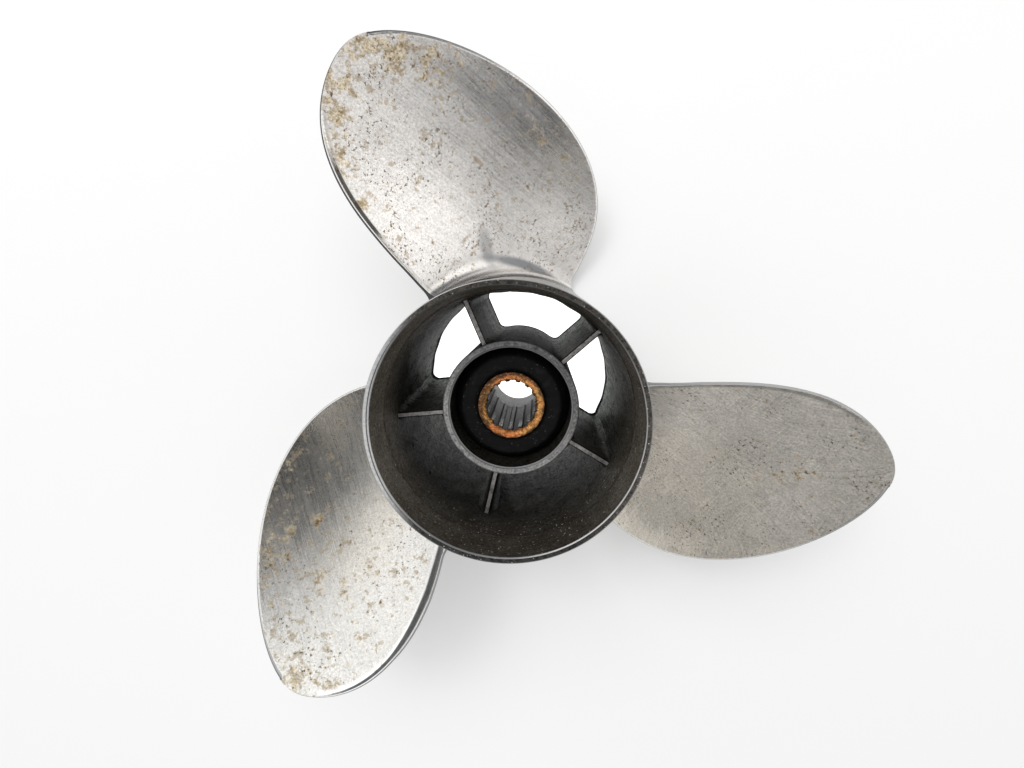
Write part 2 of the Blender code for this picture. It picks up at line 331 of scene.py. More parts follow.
studio = {
    "base": 0.53,
    # soft boxes: azimuth, elevation, full within, gone beyond (degrees), added strength
    "boxes": ((3, 9, 11, 33, 0.96), (-9, 46, 4, 17, 0.48), (133, 30, 12, 34, 0.90), (120, 58, 4, 16, 0.52),
              (-45, -5, 10, 20, 0.46), (171, 8, 8, 18, 0.51)),
    # dark flags: azimuth, elevation, full within, gone beyond (degrees), share taken away
    "flags": ((-50, 29, 9, 26, 0.87), (75, 37, 15, 37, 0.87), (52, 4, 12, 26, 0.68), (-77, 10, 10, 20, 0.60)),
    "ceiling": (0.66, 0.90, 0.45),           # from this z of the direction to that one, and how much it adds
    "zenith": (0.92, 0.985, 0.88),           # the same for the dark camera overhead, and share taken away
    "tints": ((0.95, 0.985, 1.03, 1.0), (1.0, 0.995, 0.985, 1.0)),      # where it is dark, where it is bright
    "tinted": (0.12, 0.9),                   # the strengths that count as dark and as bright
    # the floor's half width and colour, the light that it gives off under the open barrel and elsewhere, and
    # the distances from the shaft where the one turns into the other
    "floorSpan": 2.5, "floorShade": grey(0.46),
    "barrelGlow": 1.60, "floorGlow": 0.275, "glowEdge": (0.050, 0.058),
    # lights for the floor's shadows: azimuth, elevation (degrees), distance, width (metres), watts
    "keys": ((98, 63, 2.5, 2.1, 58.0), (118, 62, 2.5, 0.6, 14.0)),
}


def directionOf(azimuth, elevation):
    # direction of length 1: azimuth counts from +X towards +Y, elevation up from level
    a, e = math.radians(azimuth), math.radians(elevation)
    return (math.cos(a) * math.cos(e), math.sin(a) * math.cos(e), math.sin(e))


def roundPatch(kit, way, spot, first, last):
    # last within the spot's inner angle from its direction, first beyond its outer angle
    azimuth, elevation, inner, outer = spot
    near = kit.dot(way, directionOf(azimuth, elevation))
    return kit.step(near, math.cos(math.radians(outer)), math.cos(math.radians(inner)), first, last)


def lightStudio(settings):
    # strength = (base + boxes + ceiling) times what the flags and the dark zenith leave
    world = bpy.data.worlds.new("studio")
    bpy.context.scene.world = world
    world.use_nodes = True
    kit = Finish(world.node_tree)
    way = kit.wire(kit.node("ShaderNodeTexCoord"), "Generated")
    height = kit.parts(way)[2]
    light = settings["base"]
    for *spot, gain in settings["boxes"]:
        light = roundPatch(kit, way, spot, 0.0, gain) + light
    low, high, gain = settings["ceiling"]
    light = kit.step(height, low, high, 0.0, gain) + light
    for *spot, share in settings["flags"]:
        light = light * roundPatch(kit, way, spot, 1.0, 1.0 - share)
    low, high, share = settings["zenith"]
    light = light * kit.step(height, low, high, 1.0, 1.0 - share)
    colour = kit.mix(kit.step(light, *settings["tinted"]), *settings["tints"])
    shader = kit.node("ShaderNodeBackground", None, {"Color": colour, "Strength": light})
    kit.node("ShaderNodeOutputWorld", None, {"Surface": kit.wire(shader, "Background")})


def hangKeys(settings):
    # soft round lights that shade the floor, and that the metal doesn't mirror
    for azimuth, elevation, distance, width, power in settings["keys"]:
        data = bpy.data.lights.new("keyLight", "AREA")
        data.shape, data.size, data.energy = "DISK", width, power
        key = bpy.data.objects.new("keyLight", data)
        bpy.context.scene.collection.objects.link(key)
        spot = Vector(directionOf(azimuth, elevation)) * distance
        key.matrix_world = Matrix.Translation(spot) @ spot.to_track_quat("Z", "Y").to_matrix().to_4x4()
        key.visible_glossy = False


def layFloor(settings):
    # level square; its glow follows the distance from the shaft, as a share of the strongest
    span = settings["floorSpan"]
    points = np.array([[[-span, -span, floorHeight], [span, -span, floorHeight]],
                       [[-span, span, floorHeight], [span, span, floorHeight]]])
    mesh = gridMesh("floor", points, closeColumns=False)
    if mesh.polygons[0].normal.z < 0:
        mesh.flip_normals()
    material, kit = newFinish("paleFloor")
    away = kit.far(kit.place(), (0.0, 0.0, floorHeight))
    strongest = settings["barrelGlow"]
    glow = kit.step(away, *settings["glowEdge"], 1.0, settings["floorGlow"] / strongest)
    kit.surface(Base_Color=settings["floorShade"], Roughness=0.9, Specular_IOR_Level=0.0,
                Emission_Color=kit.mix(glow, grey(0.0), grey(1.0)), Emission_Strength=strongest)
    floor = bpy.data.objects.new("floor", mesh)
    bpy.context.scene.collection.objects.link(floor)
    mesh.materials.append(material)


lightStudio(studio)
hangKeys(studio)
layFloor(studio)
bpy.context.scene.view_settings.view_transform = "Standard"
print("studio lit")


# blades

blade = {
    "rootRadius": 0.0603, "tipRadius": 0.170, "pitch": 0.476, "rootHeight": 0.0425,
    "rake": 0.61, "rakeRelief": 0.006,       # rise per radius, and how far the tip falls short of it
    "stations": (0.0, 0.2, 0.4, 0.6, 0.8, 0.9, 1.0),         # 1 - sqrt(1 - share of the span)
    "trailingDeg": (-38.0, -38.8, -36.1, -31.1, -25.7, -23.3, -20.6),
    "leadingDeg": (28.2, 25.6, 14.3, -0.4, -12.4, -16.9, -20.6),
    "rootThickness": 0.0088, "tipThickness": 0.0030, "edgeThickness": 0.0014, "tipTaper": 0.006,
    "rootFillet": (0.0075, 0.0125),          # on the aft face, at its ends and in the middle
    "backFillet": 0.0092, "edgeFillet": 0.0035, "dip": 0.0008,
    "curlSlope": (0.30, 1.05),               # rise per length at the crease and at the lip
    "shoulder": (0.0014, 0.00055, 0.0006),   # the worn leading edge: width, drop, and the width at full drop
    "grown": (0.02, 0.10),                   # stations between which the curl and the wear begin
    "unevenness": 0.00005, "waves": ((0.047, 1.2), (0.029, 0.8), (0.016, 0.15)),
    "clear": (0.0012, 0.006),                # the root's least height over the floor, and where it bends
    "patternStep": 0.4,                      # shift of the next blade's pattern
    "facePoints": 84, "edgePoints": 9, "spanRows": 100, "filletRows": 22,
    "tipRows": (0.972, 0.980, 0.987, 0.993, 0.9975),
}
# what differs from blade to blade: turn and trim, degrees that the trailing edge gains at the first three
# stations, and the width of the curl at each station
bladeChoices = {
    "topBlade": {"node": "blade_1", "turn": 0, "trim": 0.0, "spread": (0.0, 0.0, 0.0),
                 "curl": (0.0020, 0.0034, 0.0028, 0.0006, 0.0, 0.0, 0.0)},
    "rightBlade": {"node": "blade_2", "turn": 1, "trim": 0.0, "spread": (0.0, 0.0, 0.0),
                   "curl": (0.0026, 0.0030, 0.0024, 0.0008, 0.0, 0.0, 0.0)},
    "leftBlade": {"node": "blade_3", "turn": 2, "trim": 0.6, "spread": (-2.3, -1.1, 0.0),
                  "curl": (0.0190, 0.0084, 0.0026, 0.0016, 0.0006, 0.0, 0.0)},
}


def quarterRound(rise, size):
    # flare of a fillet: size - sqrt(size^2 - (size - rise)^2), and nothing above it
    gap = np.clip(size - rise, 0.0, size)
    return size - np.sqrt(size * size - gap * gap)


def bladeRows(shape):
    # rises from the barrel: a dipped row, a fillet bunched at the root, then rows bunched at the tip
    span, reach = shape["tipRadius"] - shape["rootRadius"], shape["rootFillet"][1]
    bend = np.linspace(0.0, np.pi / 2, shape["filletRows"])
    fillet = reach * (1 - np.cos(bend))
    first = 1 - math.sqrt(1 - reach / span)
    even = np.linspace(first, shape["tipRows"][0], shape["spanRows"])[1:]
    rest = np.concatenate([even, shape["tipRows"][1:]])
    return np.concatenate([[-shape["dip"]], fillet, span * (1 - (1 - rest) ** 2)])


def outlineGap(x, y, lineX, lineY):
    # distance from each (x, y) to the nearest straight piece of the line
    start = np.stack([lineX, lineY], axis=-1)[:-1]
    run = np.diff(np.stack([lineX, lineY], axis=-1), axis=0)
    gap = np.stack([x, y], axis=-1)[..., None, :] - start
    share = np.clip((gap * run).sum(axis=-1) / np.maximum((run * run).sum(axis=-1), 1e-12), 0.0, 1.0)
    return np.sqrt(((gap - share[..., None] * run) ** 2).sum(axis=-1)).min(axis=-1)


def bladeEdges(shape, choice, s):
    # angles of trailing and leading edge: polynomials in s through the stations, and what this blade adds
    stations = shape["stations"]
    order = len(stations) - 1
    trailing = np.polyval(np.polyfit(stations, shape["trailingDeg"], order), s)
    leading = np.polyval(np.polyfit(stations, shape["leadingDeg"], order), s)
    spread = np.interp(s, stations[:3], choice["spread"])
    trim = choice["trim"] * np.sin(np.pi * np.clip(s, 0, 1))
    return np.radians(trailing + spread), np.radians(leading - trim)


def bladeEnds(above, below, stop, reach, bend):
    # rounded ends of each section, leading then trailing: half ellipses from the aft face to the back
    ends = []
    for column, way in ((-1, 1.0), (0, -1.0)):
        top, bottom = above[:, [column]], below[:, [column]]
        along = stop[:, [column]] + way * reach * np.sin(bend)
        ends.append((along, (top + bottom) / 2 + way * (top - bottom) / 2 * np.cos(bend)))
    return ends


def bladeGrid(shape, choice):
    # Each row is a section on a cylinder of radius r. With the share u of the span and s = 1 - sqrt(1 - u),
    # edge angles are polynomials in s, the chord follows the pitch helix, and raked height rises with r.
    root, span = shape["rootRadius"], shape["tipRadius"] - shape["rootRadius"]
    rise = bladeRows(shape)[:, None]
    rise = np.concatenate([rise[:1], rise, [[span]]])
    squeeze = np.ones_like(rise)
    squeeze[0] = squeeze[-1] = 0.0                           # zipped inside the barrel's wall and at the tip
    u = np.clip(rise / span, 0.0, 1.0)
    s = 1 - np.sqrt(1 - u)
    radius = root + rise
    trailing, leading = bladeEdges(shape, choice, s)
    slope = np.arctan(shape["pitch"] / (2 * np.pi * radius))
    chord = np.maximum(radius * (leading - trailing) / np.cos(slope), 1e-5)
    middle = radius * (leading + trailing) / 2
    raked = shape["rootHeight"] + shape["rake"] * rise - shape["rakeRelief"] * u ** 2
    edge = np.minimum(shape["edgeThickness"], chord / 4)
    thickest = shape["rootThickness"] + (shape["tipThickness"] - shape["rootThickness"]) * u ** 0.7
    reach = edge / 2 + quarterRound(rise, shape["edgeFillet"])
    curl = np.maximum(1e-5, np.interp(s, shape["stations"], choice["curl"]))
    grown = smoothStep(s, *shape["grown"])

    # the two faces: how far along the chord, and how far off it
    turn = np.linspace(0.0, np.pi, shape["facePoints"])[None, :]
    stop = -np.cos(turn) * (chord / 2 - edge / 2)
    share = stop / chord + 0.5
    taper = np.sqrt(np.clip((span - rise) / shape["tipTaper"], 0.0, 1.0))
    body = edge + (thickest - edge) * np.sin(np.pi * share) ** 0.8 * taper
    into = np.clip(1 - (stop + chord / 2) / curl, 0.0, 1.0)      # 0 at the crease, 1 at the lip
    low, high = shape["curlSlope"]
    lip = curl * (low * into + (high - low) * into ** 2 / 2) * grown
    waves = ripple(stop, radius, shape["waves"], 11 + choice["turn"])
    uneven = shape["unevenness"] * waves * smoothStep(s, 0.0, 0.1)
    least, most = shape["rootFillet"]
    flare = quarterRound(rise, least + (most - least) * np.sin(np.pi * share))
    toLeading = outlineGap(stop, radius + 0.0 * stop, chord[1:, 0] / 2, radius[1:, 0])
    toTrailing = outlineGap(stop, radius + 0.0 * stop, -chord[1:, 0] / 2, radius[1:, 0])
    wide, drop, flat = shape["shoulder"]
    worn = drop * grown * np.clip(1 - (toLeading - flat) / wide, 0.0, 1.0) ** 1.25
    above = lip + uneven + flare - worn
    below = lip - body - quarterRound(rise, shape["backFillet"]) + 0.0 * stop

    # a closed loop for each row: aft face, leading end, back, trailing end
    bend = np.linspace(0.0, np.pi, shape["edgePoints"] + 2)[None, 1:-1]
    (leadAlong, leadOff), (trailAlong, trailOff) = bladeEnds(above, below, stop, reach, bend)
    along = np.concatenate([stop, leadAlong, stop[:, ::-1], trailAlong], axis=1)
    off = np.concatenate([above, leadOff, below[:, ::-1], trailOff], axis=1)
    core = (above + below) / 2
    centre = np.concatenate([core, 0.0 * leadAlong + core[:, -1:], core[:, ::-1],
                             0.0 * trailAlong + core[:, :1]], axis=1)
    off = centre + (off - centre) * squeeze
    around = middle + along * np.cos(slope) + off * np.sin(slope)
    height = raked - np.tan(slope) * middle - along * np.sin(slope) + off * np.cos(slope)
    clear, bent = shape["clear"]                                 # the root stays clear of the floor
    lifted = clear + (bent - clear) * np.exp((height - bent) / (bent - clear))
    height = np.where(height < bent, lifted, height)
    angle = around / radius + choice["turn"] * 2 * np.pi / 3
    points = roundPoints(radius + 0.0 * angle, angle, height - originHeight)

    rim = -0.001 * np.sin(bend) + 0.0 * radius                   # negative on the edges themselves
    gaps = [np.concatenate([gap, rim, gap[:, ::-1], rim], axis=1) for gap in (toTrailing, toLeading)]
    intoCurl = 1 - (along + chord / 2 - edge / 2) / curl
    maps = {"sheet": np.stack([along + shape["patternStep"] * choice["turn"], radius + 0.0 * along], axis=-1),
            "edges": np.stack(gaps, axis=-1),
            "curl": np.stack([np.clip(intoCurl, -1.0, 2.0), curl + 0.0 * along], axis=-1)}
    return points, maps


# each blade's steel and marks; metal is the steel's own tone, set blade by blade to the brightness that blade
# shows, so partly painted light; band is the colour of a painted dark reflection along the curl and the radii
# that it keeps to, creasePaintedLight is shade, share and width of painted shade in the crease (a painted
# highlight on the left blade), and hair is the shade of the dark line along the leading and along the
# trailing edge
bladeLook = {
    "topBlade": {
        "metal": (0.715, 0.690, 0.665, 1.0), "rough": 0.28, "cloud": 0.22, "patch": 0.34, "grain": 1.30,
        "brush": 125.0, "brushGain": 0.60, "swirl": 0.0, "edgeHighlight": 0.0, "film": 0.0, "rootPaintedShade": 1.0,
        "pits": 0.022, "blobs": 0.044, "scratches": 0.9,
        # stains: along the chord, radius, size (metres), strength
        "stains": ((-0.009, 0.1655, 0.012, 0.9), (0.004, 0.1600, 0.013, 0.8), (0.019, 0.1590, 0.007, 0.9),
                   (-0.030, 0.1570, 0.010, 0.7), (-0.047, 0.1470, 0.008, 0.9), (-0.056, 0.1370, 0.008, 0.9),
                   (-0.062, 0.1270, 0.006, 0.9), (-0.066, 0.1130, 0.005, 0.8),
                   (0.040, 0.1300, 0.008, 0.6), (0.052, 0.1180, 0.008, 0.6)),
        "rusty": ((-0.0675, 0.1140, 0.0026), (0.0137, 0.1333, 0.0010), (-0.001, 0.1154, 0.0016)),
        # darkReflections, painted dark reflections in the root fillet: along the chord, radius, turn
        # (degrees), half length, half width (metres), share
        "darkReflections": ((-0.012, 0.0765, 90.0, 0.015, 0.0062, 0.50), (0.012, 0.0668, -10.0, 0.037, 0.0042, 0.85)),
        "band": ((0.050, 0.046, 0.038, 1.0), 0.098, 0.140), "creasePaintedLight": (0.35, 0.6, 0.0014),
        "hair": (0.04, 0.07),
    },
    "rightBlade": {
        "metal": (0.630, 0.592, 0.535, 1.0), "rough": 0.43, "cloud": 0.60, "patch": 0.34, "grain": 1.30,
        "brush": 76.0, "brushGain": 0.18, "swirl": 0.60, "edgeHighlight": 0.55, "film": 0.30, "rootPaintedShade": 0.46,
        "pits": 0.005, "blobs": -0.004, "scratches": 0.06, "darkReflections": (),
        "stains": ((-0.012, 0.1380, 0.013, 0.45),),
        "rusty": ((0.030, 0.080, 0.0012),),
        "band": ((0.36, 0.34, 0.30, 1.0), 0.062, 0.150), "creasePaintedLight": (0.16, 0.7, 0.0014),
        "hair": (0.20, 0.30),
    },
    "leftBlade": {
        "metal": (0.650, 0.640, 0.615, 1.0), "rough": 0.28, "cloud": 0.24, "patch": 0.30, "grain": 1.10,
        "brush": 150.0, "brushGain": 0.42, "swirl": 0.0, "edgeHighlight": 0.0, "film": 0.45, "rootPaintedShade": 0.92,
        "pits": 0.000, "blobs": 0.058, "scratches": 1.0, "darkReflections": (),
        "stains": ((-0.004, 0.1660, 0.010, 0.6), (-0.018, 0.1640, 0.009, 0.7), (-0.034, 0.1580, 0.008, 0.6),
                   (0.026, 0.1420, 0.009, 0.7), (0.036, 0.1490, 0.008, 0.8), (0.0155, 0.1233, 0.005, 0.9),
                   (-0.007, 0.1348, 0.006, 0.8), (-0.023, 0.1267, 0.006, 0.8), (0.058, 0.1284, 0.006, 1.0)),
        "rusty": ((0.0155, 0.1240, 0.0011), (0.058, 0.1270, 0.0013)),
        "band": ((0.085, 0.095, 0.100, 1.0), 0.056, 0.164), "creasePaintedLight": (0.98, 0.9, 0.0018),
        "hair": (0.10, 0.22),
    },
}
bladeSteel = {
    "buffed": (0.068, 0.084, 0.25, 1.0),     # the fillet is buffed smoother: from, to, and the grain's share
    # highlightWidth and highlightFade place the painted highlight along the leading edge
    "rootShadeSpan": (0.064, 0.090), "highlightWidth": (0.0300, 0.0010), "highlightFade": (0.140, 0.112),
    "swirls": ((-0.120, 0.165, 0.0), (0.090, 0.060, 7.0), (0.010, 0.260, 3.0)),      # centre, noise's shift
    "scratchTurns": ((35.0, 2.0), (-48.0, 6.0), (80.0, 11.0)),       # degrees from the brush lines, shift
    "scratch": grey(0.98), "film": (0.99, 0.92, 0.81, 1.0), "filmFrom": (0.026, 0.052),
    "tan": ((0.50, 0.39, 0.23, 1.0), (0.95, 0.82, 0.58, 1.0)), "stained": (0.575, 0.655), "stainShare": 0.80,
    "blob": (0.66, 0.57, 0.44, 1.0), "blobbed": (0.655, 0.71), "blobShare": 0.75,
    "pit": (0.26, 0.205, 0.16, 1.0), "pitted": (0.685, 0.725), "pitShare": 0.85,
    "rust": (0.46, 0.34, 0.20, 1.0), "rustShare": 0.6, "darkReflectionColour": (0.16, 0.17, 0.18, 1.0),
    # a painted highlight line along the barrel, and painted shade below it where the blade meets the barrel
    "beadHighlight": (0.0613, 0.0617, 0.0625, 0.0630), "beadHighlightColour": grey(0.97), "footPaintedShade": grey(0.10),
    # lineHighlight is the colour of the painted highlight lines along the lip and the leading edge
    "lineHighlight": grey(0.92), "lip": (0.80, 0.88), "rim": (0.0016, 0.0011), "rimFrom": (0.070, 0.085),
    "hairWidth": (0.152, 0.163, 0.0006, 0.0014),             # the dark line widens towards the tip
}


def bladePatterns(kit, look, turn):
    # where a point lies on its blade, and the noises that several marks share, each one about zero
    on = SimpleNamespace(place=kit.place())
    on.sheet = kit.mapped(kit.uv("sheet"), shift=(-blade["patternStep"] * turn, 0.0, 0.0))
    on.radius = kit.parts(on.sheet)[1]
    on.fromTrailing, on.fromLeading = kit.parts(kit.uv("edges"))[:2]
    on.into, on.curl = kit.parts(kit.uv("curl"))[:2]
    on.ground = kit.step(on.radius, *bladeSteel["buffed"])
    lined = kit.mapped(on.place, turn=(0, 0, math.radians(look["brush"])))
    on.brush = kit.uneven(kit.mapped(lined, scale=(1000.0, 45.0, 45.0)), 1.0, 3.0, 0.7) * on.ground
    on.grain = kit.uneven(kit.moved(on.place, 0.3, 0.7), 950.0, 3.0, 0.75) * on.ground
    on.cloud = kit.uneven(on.place, 34.0, 5.0, 0.62)
    on.patch = kit.uneven(kit.moved(on.place, 2.0, 5.0), 220.0, 4.0, 0.6)
    return on


def bladeTone(kit, look, steel, on):
    # 1 plus the weighted noises and a painted highlight strip along the leading edge, times painted shade
    # that makes it darker at the root, plus swirls
    # painted highlight: a lighter strip along the leading edge, fading out towards the tip
    light = kit.step(on.fromLeading, *steel["highlightWidth"], 0.0, look["edgeHighlight"])
    light = light * kit.step(on.radius, *steel["highlightFade"])
    tone = on.brush * look["brushGain"] + on.grain * look["grain"] + on.cloud * look["cloud"]
    tone = tone + on.patch * look["patch"] + light + 1.0
    # painted shade: the tone is darker near the root, where the barrel shades the blade
    tone = tone * kit.step(on.radius, *steel["rootShadeSpan"], look["rootPaintedShade"], 1.0)
    if look["swirl"] > 0.0:
        tone = tone + bladeSwirls(kit, steel, on) * look["swirl"]
    return tone


def bladeSwirls(kit, steel, on):
    # arcs left by a buffing wheel: noise of the distance from a few far centres, here and there
    total = 0.0
    for u, v, shift in steel["swirls"]:
        away = kit.far(on.sheet, (u, v, 0.0)) * 1250.0
        arc = kit.uneven(kit.triple(away + shift, on.patch * 2.0, on.cloud * 6.0), 1.0, 2.0)
        total = arc * kit.step(kit.noise(kit.moved(on.place, shift, 1.0), 46.0, 2.0), 0.48, 0.56) + total
    return total


def bladeScratches(kit, look, steel, on):
    # peaks of stretched noises in three directions, in drifts
    total = 0.0
    for angle, shift in steel["scratchTurns"]:
        turn = (0, 0, math.radians(look["brush"] + angle))
        strip = kit.mapped(on.place, turn=turn, shift=(shift, shift, 0.0))
        strip = kit.mapped(strip, scale=(1700.0, 130.0, 130.0))
        total = kit.step(kit.noise(strip, 1.0, 1.0), 0.70, 0.77) + total
    return total * kit.step(kit.noise(kit.moved(on.place, 7.0, 0.0), 60.0, 2.0), 0.45, 0.60)


def bladeMarks(kit, look, steel, on, colour):
    # Film, tan stains, blobs, pits and rust are tints that darken the metal, so that they stay darker than it
    # under any light. Blobs and pits are steps of noise; stains gather near the places that the look names.
    film = (on.cloud * 1.2 + 0.85) * kit.step(on.fromTrailing, *steel["filmFrom"])
    colour = kit.mix(film * look["film"], colour, kit.shaded(colour, steel["film"]))
    drift = kit.mapped(on.place, scale=(48.0, 48.0, 48.0), shift=(3.0, 1.0, 0.0))
    drift = kit.step(kit.noise(drift, 1.0, 3.0), 0.42, 0.62)
    edged = kit.noise(kit.moved(on.place, 1.0, 7.0), 640.0, 3.0, 0.65)
    pit = kit.step(edged + drift * 0.085 + look["pits"], *steel["pitted"])
    outer = kit.step(on.radius, 0.080, 0.150, 0.0, 0.02)         # more blobs further out
    blob = kit.noise(kit.moved(on.place, 6.0, 2.0), 215.0, 4.0, 0.66)
    blob = kit.step(blob + (edged - 0.5) * 0.12 + drift * 0.035 + outer + look["blobs"], *steel["blobbed"])
    spread = 0.0
    for u, v, size, strength in look["stains"]:
        spread = kit.step(kit.far(on.sheet, (u, v, 0.0)), size * 0.30, size * 1.35, strength, 0.0) + spread
    speckle = kit.noise(kit.moved(on.place, 9.0, 4.0), 400.0, 5.0, 0.78)
    wash = kit.noise(kit.moved(on.place, 9.0, 9.0), 170.0, 3.0, 0.6)
    stain = kit.step(speckle * 0.48 + wash * 0.52 + spread * 0.13, *steel["stained"])
    tan = kit.mix(kit.step(on.grain + on.patch, -0.16, 0.16), *steel["tan"])
    rust = 0.0
    for u, v, size in look["rusty"]:
        away = kit.far(on.sheet, (u, v, 0.0)) + on.patch * 0.012
        rust = kit.step(away, size * 0.2, size * 1.2, 1.0, 0.0) + rust
    tints = ((stain, steel["stainShare"], tan), (blob, steel["blobShare"], steel["blob"]),
             (pit, steel["pitShare"], steel["pit"]), (rust, steel["rustShare"], steel["rust"]))
    for mark, share, tint in tints:
        colour = kit.mix(mark * share, colour, kit.shaded(colour, tint))
    # painted reflection: dark patches in the root fillet
    for u, v, angle, long, wide, share in look["darkReflections"]:
        local = kit.mapped(kit.mapped(on.sheet, shift=(-u, -v, 0.0)), turn=(0, 0, -math.radians(angle)))
        away = kit.far(kit.mapped(local, scale=(1 / long, 1 / wide, 1.0)), (0.0, 0.0, 0.0))
        colour = kit.mix(kit.step(away, 1.0, 0.35) * share, colour, steel["darkReflectionColour"])
    return colour, pit, blob, (stain * 0.8).most(blob * 0.6).most(rust).clamped()


def bladeRims(kit, look, steel, on, colour):
    # a painted highlight line along the barrel with painted shade at its foot; painted shade in the curl's
    # crease, then a painted reflection band from there to the lip; painted highlight lines along the lip and
    # the leading edge; and the dark hairlines that the rims end in
    # painted highlight: a bright line along the barrel; below it painted shade where the blade meets the
    # barrel
    start, full, fading, gone = steel["beadHighlight"]
    beadHighlight = kit.step(on.radius, start, full) * kit.step(on.radius, gone, fading)
    foot = kit.mix(kit.step(on.radius, full, start) * 0.5, colour, steel["footPaintedShade"])
    colour = kit.mix(beadHighlight * 0.8, foot, steel["beadHighlightColour"])
    curlReflectionColour, low, high = look["band"]
    along = kit.step(on.radius, low - 0.003, low + 0.003) * kit.step(on.radius, high - 0.014, high, 1.0, 0.0)
    curled = kit.step(on.curl, 0.0006, 0.0012)
    # painted shade in the curl's crease on the top and right blades, a painted highlight there on the left
    # blade
    shade, share, wide = look["creasePaintedLight"]
    creasePaintedLight = kit.step(on.fromTrailing - on.curl, -0.0002, wide, 1.0, 0.0) * kit.step(on.into, 0.30, 0.0)
    creasePaintedLight = creasePaintedLight * curled
    colour = kit.mix(creasePaintedLight * share, colour, grey(shade))
    # painted reflection: a dark band along the curl, from the crease to the lip
    band = kit.step(on.into, 0.04, 0.18) * kit.step(on.into, 0.86, 0.78) * curled * along
    colour = kit.mix(band * 0.92, colour, kit.shaded(curlReflectionColour, on.patch * 1.6 + on.grain + 1.0))
    # painted highlight: bright lines along the lip and along the leading edge
    lip = kit.step(on.into, *steel["lip"]) * curled
    lineHighlight = lip.most(kit.step(on.fromLeading, *steel["rim"]) * kit.step(on.radius, *steel["rimFrom"]))
    colour = kit.mix(lineHighlight * 0.85, colour, steel["lineHighlight"])
    hairWidth = kit.step(on.radius, *steel["hairWidth"])
    hairs = [kit.step(on.fromLeading / hairWidth, 1.0, 0.2), kit.step(on.fromTrailing, 0.0001, -0.0005)]
    for hair, shade in zip(hairs, look["hair"]):
        colour = kit.mix(hair, colour, grey(shade))
    return colour, band, lineHighlight, hairs[0].most(hairs[1])


def bladeFinish(name, look, steel, turn):
    # ground stainless: brush lines and grain, clouds, dark pits in drifts, tan stains, a painted dark
    # reflection along the curl
    material, kit = newFinish(name + "Steel")
    on = bladePatterns(kit, look, turn)
    colour = kit.shaded(look["metal"], bladeTone(kit, look, steel, on))
    scratch = bladeScratches(kit, look, steel, on)
    colour = kit.mix(scratch * look["scratches"] * 0.5, colour, steel["scratch"])
    colour, pit, blob, marks = bladeMarks(kit, look, steel, on, colour)
    colour, band, lineHighlight, dull = bladeRims(kit, look, steel, on, colour)
    rough = (on.ground * 0.12 + (look["rough"] - 0.12) + on.cloud * 0.16 + on.brush * 0.20 - lineHighlight * 0.18
             + marks * 0.16 + pit * 0.20 + band * 0.08 + dull * 0.25)
    relief = kit.bump(on.brush + on.grain * 0.8 - pit * 1.0 - blob * 0.3, 0.16, 0.0002)
    kit.surface(Base_Color=colour, Metallic=1.0 - marks * 0.15 - dull * 0.7, Roughness=rough, Normal=relief)
    return material


for name, choice in bladeChoices.items():
    points, maps = bladeGrid(blade, choice)
    finish = bladeFinish(name, bladeLook[name], bladeSteel, choice["turn"])
    addPiece(name, gridMesh(name, points, maps=maps), finish, "blade_steel", choice["node"])
print("blades made")


# barrel

barrel = {
    "length": 0.151, "radius": 0.0603, "rimInner": 0.0577, "flareRadius": 0.0556, "flareHeight": 0.132,
    "ringStep": 0.00025, "throatRadius": 0.0536, "throatHeight": 0.104, "frontRadius": 0.0533,
    "frontChamfer": (0.0012, 0.0016), "bevel": 0.0004,       # bevel at the aft rim and at the flare
    "castWithin": 0.0585, "castEnd": 0.002,  # cast unevenness: within this radius, this far below the flare
    "castRelief": 0.00022, "castWaves": ((0.011, 0.6), (0.006, 0.4), (0.023, 0.8)),
    "castStretch": (0.054, 0.25),            # length per radian round the shaft, and per length along it
    "steps": 240, "longest": 0.0022,
}


def barrelRadiusInside(height):
    # straight from the front to the throat, from there to the flare, and on to the rim
    heights = (0.0, barrel["throatHeight"], barrel["flareHeight"], barrel["length"])
    radii = (barrel["frontRadius"], barrel["throatRadius"], barrel["flareRadius"], barrel["rimInner"])
    return np.interp(height, heights, radii)


def barrelGrid(shape):
    # the wall's section turned round the shaft, with a ripple added to the cast part of its inside
    top, flare, bevel = shape["length"], shape["flareHeight"], shape["bevel"]
    chamferIn, chamferUp = shape["frontChamfer"]
    corners = [(shape["radius"], top, 0.0004), (shape["radius"], 0.0, 0.0008),
               (shape["frontRadius"] + chamferIn, 0.0, 0.0004), (shape["frontRadius"], chamferUp, 0.0006),
               (shape["throatRadius"], shape["throatHeight"], 0.012),
               (shape["flareRadius"] - shape["ringStep"], flare - bevel, 0.0003),
               (shape["flareRadius"], flare, 0.0003),
               (shape["rimInner"], top - bevel, 0.0001), (shape["rimInner"] + bevel, top, 0.0001)]
    profile = splitLong(filletProfile(corners), shape["longest"])
    radius, angle, height = turned(profile, shape["steps"])
    inner = (radius < shape["castWithin"]) & (height < flare - shape["castEnd"] - originHeight)
    around, up = shape["castStretch"]
    cast = ripple(angle * around, height * up, shape["castWaves"], 3)
    return roundPoints(radius + inner * cast * shape["castRelief"], angle, height)


